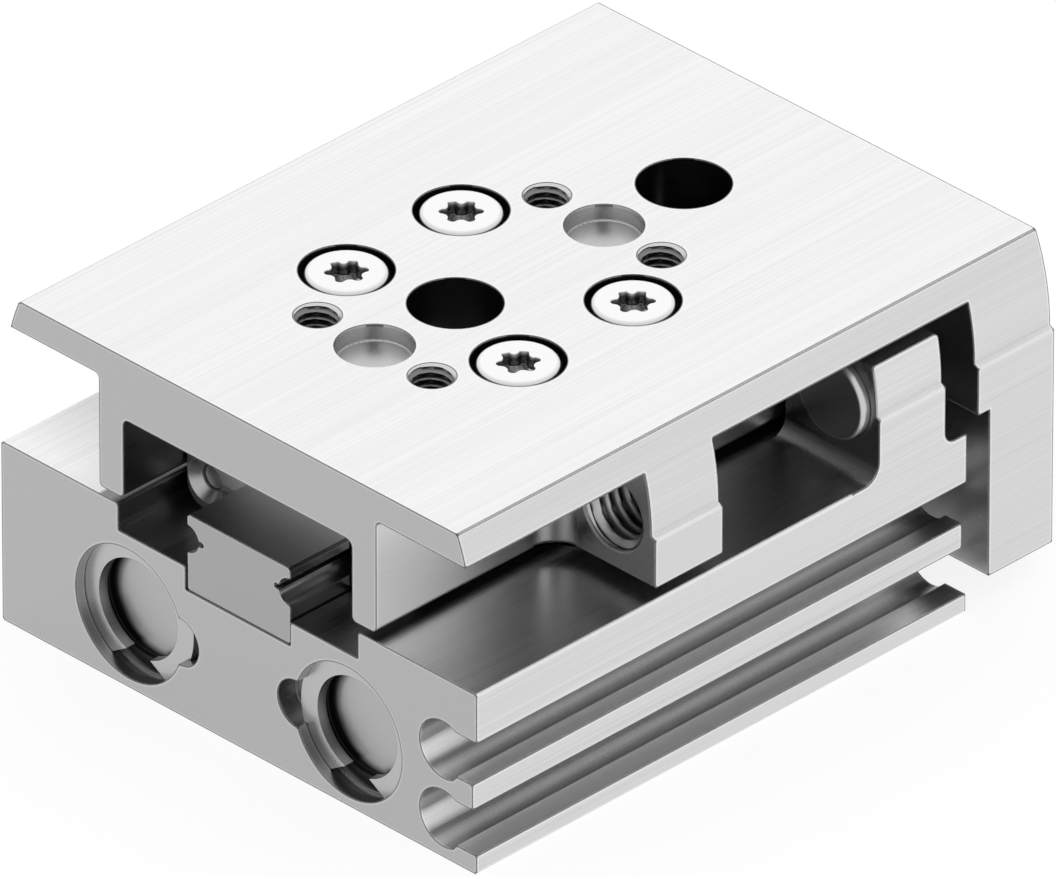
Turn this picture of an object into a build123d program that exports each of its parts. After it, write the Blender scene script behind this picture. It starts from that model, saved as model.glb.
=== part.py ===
"""Pneumatic slide table: a twin-piston housing with a miniature ball guide, and a table with a front yoke.

X runs along the stroke and +X is the advance direction, Y runs across, and Z is up.
The origin is the centre of the housing's flat base. The table is drawn retracted.
"""

import os
from math import cos, radians, sin, sqrt

from build123d import *

# Housing block.
body_length = 42.8
body_width = 41.6
body_height = 13.0
channel_width = 21.0
channel_depth = 1.95
rail_seat_depth = 1.7
edge_break = 0.12

# Envelope that the table, the lug and the stop block share: straight below the step, arched above it.
table_height = 23.86
step_height = 17.45
step_depth = 0.36
step_slope = 0.2
arch_radius = 16.2

# Cylinders.
bore_diameter = 8.0
bore_spacing = 19.2
bore_height = 5.35
stroke = 10.0
end_bore_diameter = 9.4
ring_setback = 0.8
ring_thickness = 0.75
ring_groove_play = 0.05
ring_groove_depth = 0.25
ring_opening = 3.45
ring_gap_angle = 34.0
ring_cut_angle = 28.0
cover_thickness = 3.1
cover_dish_depth = 0.4
bush_length = 4.5
cushion_thickness = 0.8
cushion_radius = 3.0
tool_notch_radius = 1.7
tool_notch_offset = 4.45
tool_notch_depth = 1.6

# Sensor slots on the near side.
slot_count = 2
slot_pitch = 4.98
slot_first_height = 2.81
slot_radius = 2.05
slot_setback = 2.9
slot_mouth = 3.2
slot_mouth_rise = 0.13
slot_lip_round = 0.25
slot_lip_reach = 1.78
rib_setback = 0.36

# Stop block and its button.
block_length = 5.8
block_setback = 1.9
block_top_margin = 0.25
block_inner = 12.65
block_foot_round_rear = 1.3
block_foot_round_front = 0.9
block_top_round = 0.3
button_radius = 2.9
button_depth = 4.0
button_proud = 0.7
stop_axis_y = -17.1
stop_axis_drop = 6.16

# Ports and air passages on the far side.
port_height = 8.0
port_depth = 5.2
passage_diameter = 1.5
passage_drop = 1.2
rear_passage = 6.3
front_passage = 8.0

# Base mounting holes.
base_hole_pitch = 32.0
base_thread_depth = 6.0
base_pin_pitch = 20.0
base_pin_diameter = 5.0
base_pin_depth = 1.2

# Profile guide.
rail_width = 9.0
rail_height = 5.5
rail_end_gap = 0.1
rail_side_gap = 0.1
rail_chamfer = 0.15
rail_hole_pitch = 20.0
rail_hole_diameter = 3.5
rail_counterbore_diameter = 6.0
rail_counterbore_depth = 3.5
groove_height = 3.75
groove_radius = 0.98
wire_groove_reach = 1.42
wire_groove_width = 0.36
guide_height = 10.0
carriage_width = 20.0
carriage_play = 0.05
carriage_body_length = 25.2
carriage_lift = 2.05
carriage_corner = 1.5
carriage_centre = 21.9
carriage_rail_gap = 0.25
return_offset = 8.2
return_height = 3.95
return_radius = 1.05
end_cap_length = 3.2
end_seal_length = 0.8
end_cap_inset = 0.2
cap_hole_radius = 0.9
cap_hole_countersink = 1.5
cap_slot_width = 0.8
cap_slot_depth = 0.45
ball_radius = 0.93
ball_pitch = 2.02
ball_count = 11
wire_radius = 0.12

# Table with wings, flanges, lug and yoke.
yoke_gap = 2.05
wing_thickness = 2.14
flange_outer = 12.1
flange_bottom = 13.62
flange_round = 0.35
cavity_round = 0.5
wing_round = 0.4
lug_start = 15.5
lug_length = 5.85
lug_bottom = 13.86
lug_root_reach = 4.0
lug_thread_mouth = 5.28
yoke_thickness = 5.65
yoke_head_extra = 1.03
yoke_head_bottom = 13.9
yoke_bottom = 1.75

# Holes in the table's top, measured from its rear edge.
pin_row = 11.9
pin_pitch = 20.0
pin_hole_diameter = 5.0
pin_hole_depth = 1.2
thread_spacing = 10.0
top_thread_depth = 4.0
screw_pitch_x = 10.0
screw_pitch_y = 15.0
access_row = 18.9
access_pitch = 20.0
access_diameter = 6.04

# The same pattern stands upright on the yoke's front face.
front_pattern_height = 16.0
front_thread_depth = 5.0

# Screws. A threaded hole is a bore of the thread's outer diameter with a little play.
m3_diameter = 3.0
m4_diameter = 4.0
m5_diameter = 5.0
m3_clearance_diameter = 3.3
thread_play = 0.03
hole_break = 0.05
hole_floor_round = 0.1
low_head_diameter = 5.44
low_head_height = 1.6
low_head_setback = 0.12
head_hole_diameter = 6.06
drive_radius = 1.2
drive_depth = 1.1
carriage_screw_length = 5.0
rod_screw_length = 8.0
rail_screw_length = 8.0
rail_screw_head_height = 3.0
cap_screw_radius = 0.8
cap_screw_length = 5.5

# Piston group.
piston_play = 0.05
piston_nose_length = 1.7
piston_nose_radius = 3.0
piston_seal_width = 1.8
piston_seal_depth = 1.0
piston_seal_offset = 1.0
magnet_length = 5.0
magnet_depth = 1.2
rod_diameter = 4.0
rod_play = 0.03
rod_socket_depth = 4.0
rod_pocket_depth = 1.0
rod_thread_depth = 9.0
seal_section = 0.9
seal_squeeze = 0.05
lip_seal_radius = 3.4
lip_seal_length = 1.6

# Places worked out from the sizes above.
rear_x = -body_length / 2
front_x = body_length / 2
table_length = body_length + yoke_gap + yoke_thickness
table_front_x = rear_x + table_length
wing_bottom = table_height - wing_thickness
stop_axis_height = table_height - stop_axis_drop
block_height = stop_axis_height + button_radius + block_top_margin
channel_floor = body_height - channel_depth
rail_seat = channel_floor - rail_seat_depth
rail_top = rail_seat + rail_height
cavity_ceiling = rail_seat + guide_height
carriage_bottom = rail_seat + carriage_lift
groove_z = rail_seat + groove_height
return_z = rail_seat + return_height
bore_radius = bore_diameter / 2
end_bore_radius = end_bore_diameter / 2
ring_groove_width = ring_thickness + ring_groove_play
cover_face_depth = ring_setback + ring_thickness
rear_bore_depth = cover_face_depth + cover_thickness + ring_groove_play
front_bore_depth = ring_setback + ring_groove_width + bush_length
carriage_middle_x = rear_x + carriage_centre
block_front_x = front_x - block_setback
block_rear_x = block_front_x - block_length
lug_rear_x = rear_x + lug_start
yoke_inner_x = table_front_x - yoke_thickness
yoke_head_inner_x = yoke_inner_x - yoke_head_extra
pin_row_x = rear_x + pin_row
access_row_x = rear_x + access_row
sides = {"left": 1, "right": -1}
standing = (Align.CENTER, Align.CENTER, Align.MIN)
hanging = (Align.CENTER, Align.CENTER, Align.MAX)
step_out_y = body_width / 2
step_in_y = step_out_y - step_depth


def axial_plane(y, z):
    """Plane along the stroke through (y, z): its first axis is X, its second is Z."""
    return Plane(origin=(0, y, z), x_dir=(1, 0, 0), z_dir=(0, -1, 0))


def turned(outlines, y, z, cuts=()):
    """Ring or shaft turned about the X axis through (y, z), from outlines in (x, radius) pairs."""
    with BuildPart() as piece:
        for outline, mode in [(o, Mode.ADD) for o in outlines] + [(o, Mode.SUBTRACT) for o in cuts]:
            with BuildSketch(axial_plane(y, z)):
                with BuildLine():
                    Polyline(*outline, close=True)
                make_face()
            revolve(axis=Axis((0, y, z), (1, 0, 0)), mode=mode)
    return piece.part


def band(x_from, x_to, r_from, r_to):
    """Outline of a plain ring section."""
    return [(x_from, r_from), (x_to, r_from), (x_to, r_to), (x_from, r_to)]


def seal_groove(x):
    """Outline of an O-ring groove in a piece that sits in an end bore, centred at x."""
    return band(x - seal_section / 2, x + seal_section / 2, end_bore_radius - seal_section, end_bore_radius)


def save(part, name):
    """Labels a finished piece and writes it to its own file."""
    part.label = name
    export_step(part, "parts/" + name + ".step")


def envelope(x):
    """Cross-section shared by the table, the lug and the stop block, drawn at x."""
    rise = table_height - step_height
    top_y = step_in_y - (arch_radius - sqrt(arch_radius**2 - rise**2))
    with BuildSketch(Plane.YZ.offset(x)) as section:
        with BuildLine():
            right_side = Polyline((0, 0), (step_out_y, 0), (step_out_y, step_height - step_slope))
            step = Line(right_side @ 1, (step_in_y, step_height))
            arch = RadiusArc(step @ 1, (top_y, table_height), -arch_radius)
            Polyline(arch @ 1, (0, table_height), (0, 0))
        make_face()
        mirror(about=Plane.YZ)
    return section.sketch


def sensor_slot(height):
    """Cross-section of one sensor slot, open to the near side, centred at height."""
    circle_y = -(step_out_y - slot_setback)
    mouth_z = height + slot_mouth_rise
    lip_y = circle_y - slot_lip_reach / 2 - slot_lip_round
    mouth_low = mouth_z - slot_mouth / 2
    with BuildSketch(Plane.YZ.offset(rear_x)) as section:
        with Locations((circle_y, height)):
            Circle(slot_radius)
        with Locations((circle_y, mouth_z)):
            Rectangle(slot_setback + step_depth, slot_mouth, align=(Align.MAX, Align.CENTER))
        # The upper lip is rounded where the mouth meets the circle.
        upper_lip = section.vertices().filter_by_position(Axis.X, circle_y - slot_radius, circle_y)
        fillet(upper_lip.sort_by(Axis.Y)[-1], slot_lip_round)
        # The lower lip ends in a small hook.
        with BuildLine():
            Polyline(
                (circle_y - slot_radius, mouth_low),
                (lip_y, mouth_low),
                (lip_y + slot_lip_round, mouth_low - slot_lip_round * sqrt(2)),
                (circle_y - slot_radius, mouth_low - slot_lip_round * sqrt(2)),
                close=True,
            )
        make_face(mode=Mode.SUBTRACT)
    return section.sketch


def blind_hole(diameter, depth):
    """Cut of a blind hole going down from the XY plane, with a broken mouth and a rounded floor corner."""
    with BuildPart() as cut:
        Cylinder(diameter / 2, depth, align=hanging)
        fillet(cut.edges().group_by(Axis.Z)[0], hole_floor_round)
        Cone(diameter / 2, diameter / 2 + hole_break, hole_break, align=hanging)
    return cut.part


def low_head_screw(plane, length):
    """Low-head M3 screw on a plane whose normal points out of the head."""
    with BuildPart() as screw:
        with BuildSketch(plane):
            Circle(low_head_diameter / 2)
        extrude(amount=-low_head_height)
        with BuildSketch(plane.offset(-low_head_height)):
            Circle(m3_diameter / 2)
        extrude(amount=-length)
        with BuildSketch(plane):
            RegularPolygon(drive_radius, 6)
        extrude(amount=-drive_depth, mode=Mode.SUBTRACT)
    return screw.part


def corners_near(section, x, y):
    """Corners of a section that lie within the edge break of a point of its own plane."""
    column = section.vertices().filter_by_position(Axis.X, x - edge_break, x + edge_break)
    return column.filter_by_position(Axis.Y, y - edge_break, y + edge_break)


def build_stop_block():
    """Block on the near side of the housing that carries the stop button, with its foot radii."""
    strip_height = channel_depth / 2
    with BuildPart() as block:
        with BuildSketch(Plane.XZ.offset(block_inner)) as outline:
            with Locations((block_rear_x, body_height - strip_height)):
                Rectangle(block_length, block_height - body_height + strip_height, align=Align.MIN)
            with Locations((block_rear_x - block_foot_round_rear - strip_height, body_height)):
                Rectangle(
                    front_x - block_rear_x + block_foot_round_rear + strip_height,
                    strip_height,
                    align=(Align.MIN, Align.MAX),
                )
            fillet(corners_near(outline, block_rear_x, body_height), block_foot_round_rear)
            fillet(corners_near(outline, block_front_x, body_height), block_foot_round_front)
            fillet(outline.vertices().group_by(Axis.Y)[-1], block_top_round)
        extrude(amount=step_out_y - block_inner)
        extrude(envelope(rear_x), amount=body_length, mode=Mode.INTERSECT)
    return block.part


def build_housing(stop_block):
    """Housing: drawn section with channel, rail seat and sensor slots, then the machined features."""
    with BuildPart() as housing:
        with BuildSketch(Plane.YZ.offset(rear_x)):
            Rectangle(body_width, body_height, align=(Align.CENTER, Align.MIN))
            with Locations((0, body_height)):
                Rectangle(channel_width, channel_depth, align=(Align.CENTER, Align.MAX), mode=Mode.SUBTRACT)
            with Locations((0, channel_floor)):
                Rectangle(
                    rail_width + 2 * rail_side_gap,
                    rail_seat_depth,
                    align=(Align.CENTER, Align.MAX),
                    mode=Mode.SUBTRACT,
                )
            # The ribs between two slots stand back from the side.
            for index in range(slot_count - 1):
                with Locations((-step_out_y, slot_first_height + (index + 0.5) * slot_pitch)):
                    Rectangle(rib_setback, slot_pitch, align=(Align.MIN, Align.CENTER), mode=Mode.SUBTRACT)
        extrude(amount=body_length)
        long_edges = housing.edges().filter_by(Axis.X)
        corners = long_edges.group_by(Axis.Z)[0] + long_edges.group_by(Axis.Z)[-1]
        chamfer(corners, edge_break)
        for index in range(slot_count):
            slot = sensor_slot(slot_first_height + index * slot_pitch)
            extrude(slot, amount=body_length, mode=Mode.SUBTRACT)
        add(stop_block)

        # Cylinder bores, stepped at both ends, each with a ring groove.
        for side in sides.values():
            for face_x, depth, inward in ((rear_x, rear_bore_depth, 1), (front_x, front_bore_depth, -1)):
                groove_x = face_x + inward * ring_setback
                for start_x, length, radius in (
                    (face_x, depth, end_bore_radius),
                    (groove_x, ring_groove_width, end_bore_radius + ring_groove_depth),
                ):
                    with BuildSketch(Plane.YZ.offset(start_x)):
                        with Locations((side * bore_spacing / 2, bore_height)):
                            Circle(radius)
                    extrude(amount=inward * length, mode=Mode.SUBTRACT)
            with BuildSketch(Plane.YZ.offset(rear_x)):
                with Locations((side * bore_spacing / 2, bore_height)):
                    Circle(bore_radius)
            extrude(amount=body_length, mode=Mode.SUBTRACT)
            # Half-round relief beside each rear bore for the ring tool.
            with BuildSketch(Plane.YZ.offset(rear_x)):
                with Locations((side * (bore_spacing / 2 - tool_notch_offset), bore_height)):
                    Circle(tool_notch_radius)
            extrude(amount=tool_notch_depth, mode=Mode.SUBTRACT)

        # Two ports on the far side, each with a low passage drilled on across both cylinders.
        far_face = Plane(origin=(0, step_out_y, 0), x_dir=(1, 0, 0), z_dir=(0, 1, 0))
        for port_x in (rear_x + rear_passage, front_x - front_passage):
            with Locations(far_face):
                with Locations((port_x, -port_height)):
                    add(blind_hole(m5_diameter + 2 * thread_play, port_depth), mode=Mode.SUBTRACT)
            with BuildSketch(Plane.XZ.offset(-step_out_y)):
                with Locations((port_x, port_height - passage_drop)):
                    Circle(passage_diameter / 2)
            extrude(amount=step_out_y + bore_spacing / 2, mode=Mode.SUBTRACT)

        # Rail screw threads from above, mounting threads and centring holes from below.
        with Locations(Plane.XY.offset(rail_seat)):
            with GridLocations(rail_hole_pitch, 0, 2, 1):
                thread_depth = rail_screw_length - rail_height + rail_counterbore_depth + seal_section
                Hole(m3_diameter / 2 + thread_play, thread_depth)
        with Locations(Plane.XY.rotated((180, 0, 0))):
            with GridLocations(base_hole_pitch, 0, 2, 1):
                Hole(m4_diameter / 2 + thread_play, base_thread_depth)
            with GridLocations(base_pin_pitch, 0, 2, 1):
                add(blind_hole(base_pin_diameter, base_pin_depth), mode=Mode.SUBTRACT)

        # Seat of the stop button.
        with BuildSketch(Plane.YZ.offset(block_rear_x)):
            with Locations((stop_axis_y, stop_axis_height)):
                Circle(button_radius + thread_play)
        extrude(amount=button_depth, mode=Mode.SUBTRACT)
    return housing.part


def build_rail():
    """Guide rail with a round ball track and a wire groove on each flank, and counterbored holes."""
    length = body_length - 2 * rail_end_gap
    with BuildPart() as rail:
        with BuildSketch(Plane.YZ.offset(rear_x + rail_end_gap)) as section:
            with Locations((0, rail_seat)):
                Rectangle(rail_width, rail_height, align=(Align.CENTER, Align.MIN))
            chamfer(section.vertices(), rail_chamfer)
            for side in sides.values():
                with Locations((side * rail_width / 2, groove_z)):
                    Circle(groove_radius, mode=Mode.SUBTRACT)
                    SlotCenterToCenter(
                        2 * wire_groove_reach - wire_groove_width, wire_groove_width, mode=Mode.SUBTRACT
                    )
        extrude(amount=length)
        with Locations(Plane.XY.offset(rail_top)):
            with GridLocations(rail_hole_pitch, 0, 2, 1):
                CounterBoreHole(
                    rail_hole_diameter / 2, rail_counterbore_diameter / 2, rail_counterbore_depth
                )
    return rail.part


def build_rail_screws():
    """Socket screws that hold the rail down, head in the rail's counterbore."""
    seat_z = rail_top - rail_counterbore_depth
    with BuildPart() as screws:
        with Locations(Plane.XY.offset(seat_z)):
            with GridLocations(rail_hole_pitch, 0, 2, 1):
                Cylinder(low_head_diameter / 2, rail_screw_head_height, align=standing)
                Cylinder(m3_diameter / 2, rail_screw_length, align=hanging)
        with BuildSketch(Plane.XY.offset(seat_z + rail_screw_head_height)):
            with GridLocations(rail_hole_pitch, 0, 2, 1):
                RegularPolygon(drive_radius, 6)
        extrude(amount=-drive_depth, mode=Mode.SUBTRACT)
    return screws.part


def build_ring(face_x, outward, y):
    """C-shaped retaining ring that sits in its groove, open at the bottom; outward is its outer side."""
    outer_radius = end_bore_radius + ring_groove_depth - ring_groove_play
    start_x = face_x - outward * ring_setback
    with BuildPart() as ring:
        with BuildSketch(Plane.YZ.offset(start_x)):
            with Locations((y, bore_height)):
                Circle(outer_radius)
                Circle(ring_opening, mode=Mode.SUBTRACT)
            # The two ends are cut so that the gap widens outwards.
            reach = 2 * outer_radius
            inner_half = radians(ring_gap_angle / 2)
            outer_half = radians(ring_gap_angle / 2 + ring_cut_angle)
            tip = ring_opening
            with BuildLine():
                Polyline(
                    (y, bore_height),
                    (y - tip * sin(inner_half), bore_height - tip * cos(inner_half)),
                    (y - reach * sin(outer_half), bore_height - reach * cos(outer_half)),
                    (y + reach * sin(outer_half), bore_height - reach * cos(outer_half)),
                    (y + tip * sin(inner_half), bore_height - tip * cos(inner_half)),
                    close=True,
                )
            make_face(mode=Mode.SUBTRACT)
        extrude(amount=-outward * ring_thickness)
    return ring.part


def build_cylinder_ends(name, side):
    """Rear cover with its O-ring, front bush with its seals, the rings and the cushions of one cylinder."""
    y = side * bore_spacing / 2
    fit_radius = end_bore_radius - ring_groove_play

    cover_rear = rear_x + cover_face_depth
    cover_front = cover_rear + cover_thickness
    cover_middle = (cover_rear + cover_front) / 2
    bush_rear = front_x - front_bore_depth
    bush_front = bush_rear + bush_length
    bush_middle = (bush_rear + bush_front) / 2
    dish_floor = cover_rear + cover_dish_depth
    dish_radius = ring_opening + ring_groove_depth
    cover = turned(
        [band(cover_rear, cover_front, 0, fit_radius)],
        y,
        bore_height,
        [
            band(cover_rear, dish_floor, 0, dish_radius),
            seal_groove(cover_middle),
        ],
    )
    save(cover, "rear_cover_" + name)
    ring_radius = (seal_section - seal_squeeze) / 2
    for label, x in (("cover_seal_", cover_middle), ("bush_seal_", bush_middle)):
        with BuildPart() as seal:
            with BuildSketch(axial_plane(y, bore_height)):
                with Locations((x, end_bore_radius - seal_section / 2)):
                    RegularPolygon(ring_radius, 6)
            revolve(axis=Axis((0, y, bore_height), (1, 0, 0)))
        save(seal.part, label + name)

    save(build_ring(rear_x, -1, y), "cover_ring_" + name)
    save(build_ring(front_x, 1, y), "bush_ring_" + name)

    rod_hole = rod_diameter / 2 + rod_play
    bush = turned(
        [band(bush_rear, bush_front, rod_hole, fit_radius)],
        y,
        bore_height,
        [
            seal_groove(bush_middle),
            band(bush_rear, bush_rear + lip_seal_length, 0, lip_seal_radius),
        ],
    )
    save(bush, "rod_bush_" + name)
    # The rod seal is thickest at its root and thins towards the pressure.
    lip_root = bush_rear + lip_seal_length
    lip_tip = bush_rear + ring_groove_play
    lip_outline = [
        (lip_tip, rod_hole),
        (lip_root, rod_hole),
        (lip_root, lip_seal_radius - ring_groove_play),
        (lip_tip, rod_hole + seal_section / 2),
    ]
    save(turned([lip_outline], y, bore_height), "rod_seal_" + name)

    save(
        turned([band(cover_front, cover_front + cushion_thickness, 0, cushion_radius)], y, bore_height),
        "rear_cushion_" + name,
    )
    save(
        turned(
            [band(bush_rear - cushion_thickness, bush_rear, rod_hole + ring_groove_depth, cushion_radius)],
            y,
            bore_height,
        ),
        "front_cushion_" + name,
    )


def build_piston_group(name, side):
    """Piston with two lip seals and a magnet ring, and the rod that joins it to the yoke."""
    y = side * bore_spacing / 2
    back_x = rear_x + cover_face_depth + cover_thickness + cushion_thickness + piston_play
    face_x = front_x - front_bore_depth - cushion_thickness - stroke - piston_play
    body_back = back_x + piston_nose_length
    body_face = face_x - piston_nose_length
    skirt_radius = bore_radius - piston_play
    seal_floor = bore_radius - piston_seal_depth
    magnet_middle = (back_x + face_x) / 2
    magnet_back = magnet_middle - magnet_length / 2
    magnet_face = magnet_middle + magnet_length / 2
    rod_radius = rod_diameter / 2
    seal_starts = (body_back + piston_seal_offset, body_face - piston_seal_offset - piston_seal_width)
    piston = turned(
        [band(back_x, face_x, 0, piston_nose_radius), band(body_back, body_face, 0, skirt_radius)],
        y,
        bore_height,
        [band(start, start + piston_seal_width, seal_floor, bore_radius) for start in seal_starts]
        + [
            band(magnet_back, magnet_face, bore_radius - magnet_depth, bore_radius),
            band(face_x - rod_socket_depth, face_x, 0, rod_radius + rod_play),
        ],
    )
    save(piston, "piston_" + name)
    # Each seal thickens towards the end of the piston that it faces.
    seal_inner = seal_floor + rod_play
    with BuildPart() as seals:
        for start, lip, root in zip(seal_starts, (0, piston_seal_width), (piston_seal_width, 0)):
            with BuildSketch(axial_plane(y, bore_height)):
                with BuildLine():
                    Polyline(
                        (start + root, seal_inner),
                        (start + lip, seal_inner),
                        (start + lip, bore_radius - rod_play),
                        (start + root, skirt_radius - piston_play),
                        close=True,
                    )
                make_face()
            revolve(axis=Axis((0, y, bore_height), (1, 0, 0)))
    save(seals.part, "piston_seals_" + name)
    save(
        turned([band(magnet_back, magnet_face, bore_radius - magnet_depth, skirt_radius - piston_play)],
               y, bore_height),
        "piston_magnet_" + name,
    )
    rod_end = yoke_inner_x + rod_pocket_depth
    with BuildPart() as rod:
        with BuildSketch(Plane.YZ.offset(face_x - rod_socket_depth)):
            with Locations((y, bore_height)):
                Circle(rod_radius)
        extrude(amount=rod_end - face_x + rod_socket_depth)
        with BuildSketch(Plane.YZ.offset(rod_end)):
            with Locations((y, bore_height)):
                Circle(m3_diameter / 2 + thread_play)
        extrude(amount=-rod_thread_depth, mode=Mode.SUBTRACT)
    save(rod.part, "piston_rod_" + name)


def build_stop_button():
    """Hardened stop button in the block, with a chamfered face."""
    front = block_rear_x - button_proud
    chamfer_size = button_radius - low_head_diameter / 2 + edge_break
    outline = [
        (front, 0),
        (front, button_radius - chamfer_size),
        (front + chamfer_size, button_radius),
        (block_rear_x + button_depth, button_radius),
        (block_rear_x + button_depth, 0),
    ]
    return turned([outline], stop_axis_y, stop_axis_height)


def carriage_section(x, half_width, bottom, rail_gap, corner):
    """Saddle section of the carriage at x: a block with an opening for the rail."""
    with BuildSketch(Plane.YZ.offset(x)) as section:
        with Locations((0, bottom)):
            Rectangle(2 * half_width, cavity_ceiling - bottom, align=(Align.CENTER, Align.MIN))
        fillet(section.vertices().group_by(Axis.Y)[0], corner)
        chamfer(section.vertices().group_by(Axis.Y)[-1], cavity_round)
        with Locations((0, bottom)):
            Rectangle(
                rail_width + 2 * rail_gap,
                rail_top + rail_gap - bottom,
                align=(Align.CENTER, Align.MIN),
                mode=Mode.SUBTRACT,
            )
    return section.sketch


def build_carriage():
    """Steel carriage body with ball tracks, return bores and four tapped holes."""
    rear = carriage_middle_x - carriage_body_length / 2
    half_width = carriage_width / 2 - carriage_play
    with BuildPart() as carriage:
        extrude(
            carriage_section(rear, half_width, carriage_bottom, carriage_rail_gap, edge_break),
            amount=carriage_body_length,
        )
        with BuildSketch(Plane.YZ.offset(rear)):
            for side in sides.values():
                with Locations((side * rail_width / 2, groove_z)):
                    Circle(groove_radius)
                with Locations((side * return_offset, return_z)):
                    Circle(return_radius)
        extrude(amount=carriage_body_length, mode=Mode.SUBTRACT)
        with Locations((carriage_middle_x, 0, cavity_ceiling)):
            with GridLocations(screw_pitch_x, screw_pitch_y, 2, 2):
                Hole(m3_diameter / 2 + thread_play, carriage_screw_length)
    return carriage.part


def build_carriage_end(label, side_sign):
    """End cap and end seal at one end of the carriage, with their screw holes."""
    half_width = carriage_width / 2 - end_cap_inset
    cap_x = carriage_middle_x + side_sign * carriage_body_length / 2
    seal_x = cap_x + side_sign * end_cap_length
    tip_x = seal_x + side_sign * end_seal_length
    bottom = carriage_bottom - edge_break
    with BuildPart() as cap:
        rail_gap = carriage_rail_gap + rail_side_gap
        section = carriage_section(cap_x, half_width, bottom, rail_gap, carriage_corner)
        extrude(section, amount=side_sign * end_cap_length)
        with BuildSketch(Plane.YZ.offset(seal_x)):
            with Locations((return_offset, return_z), (-return_offset, return_z)):
                Circle(cap_screw_radius + thread_play)
        extrude(amount=-side_sign * end_cap_length, mode=Mode.SUBTRACT)
    save(cap.part, "end_cap_" + label)
    with BuildPart() as seal:
        section = carriage_section(seal_x, half_width, bottom, rail_side_gap, carriage_corner)
        extrude(section, amount=side_sign * end_seal_length)
        for side in sides.values():
            hole_plane = Plane(origin=(tip_x, side * return_offset, return_z), x_dir=(0, 1, 0),
                               z_dir=(side_sign, 0, 0))
            with Locations(hole_plane):
                CounterSinkHole(cap_hole_radius, cap_hole_countersink, end_seal_length + edge_break, 90)
            slot_start = rail_width / 2 + rail_side_gap
            with BuildSketch(Plane.YZ.offset(tip_x)):
                with Locations((side * (slot_start + return_offset) / 2, return_z)):
                    Rectangle(return_offset - slot_start, cap_slot_width)
            extrude(amount=-side_sign * cap_slot_depth, mode=Mode.SUBTRACT)
    save(seal.part, "end_seal_" + label)


def build_cap_screws():
    """Four small screws that hold the end caps to the carriage, set below the end seals."""
    with BuildPart() as screws:
        for side_sign in sides.values():
            seal_x = carriage_middle_x + side_sign * (carriage_body_length / 2 + end_cap_length)
            with BuildSketch(Plane.YZ.offset(seal_x)):
                with Locations((return_offset, return_z), (-return_offset, return_z)):
                    Circle(cap_screw_radius)
            extrude(amount=-side_sign * cap_screw_length)
    return screws.part


def build_balls(side):
    """One loaded row of balls between rail and carriage, each drawn with 26 flats inside its sphere."""
    corner = 1 + sqrt(2)
    width = 2 * ball_radius / sqrt(1 + 2 / corner**2)
    with BuildPart() as ball:
        Box(width, width, width)
        chamfer(ball.edges(), width / (1 + corner))
    with BuildPart() as balls:
        with Locations((carriage_middle_x, side * rail_width / 2, groove_z)):
            with GridLocations(ball_pitch, 0, ball_count, 1):
                add(ball.part)
    return balls.part


def build_wires():
    """Two fine wires that keep the balls in the carriage when it is off the rail."""
    length = carriage_body_length + end_cap_length
    wire_y = rail_width / 2 - wire_groove_reach + wire_groove_width / 2
    with BuildPart() as wires:
        with BuildSketch(Plane.YZ.offset(carriage_middle_x - length / 2)):
            with Locations((wire_y, groove_z), (-wire_y, groove_z)):
                Circle(wire_radius)
        extrude(amount=length)
    return wires.part


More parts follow.
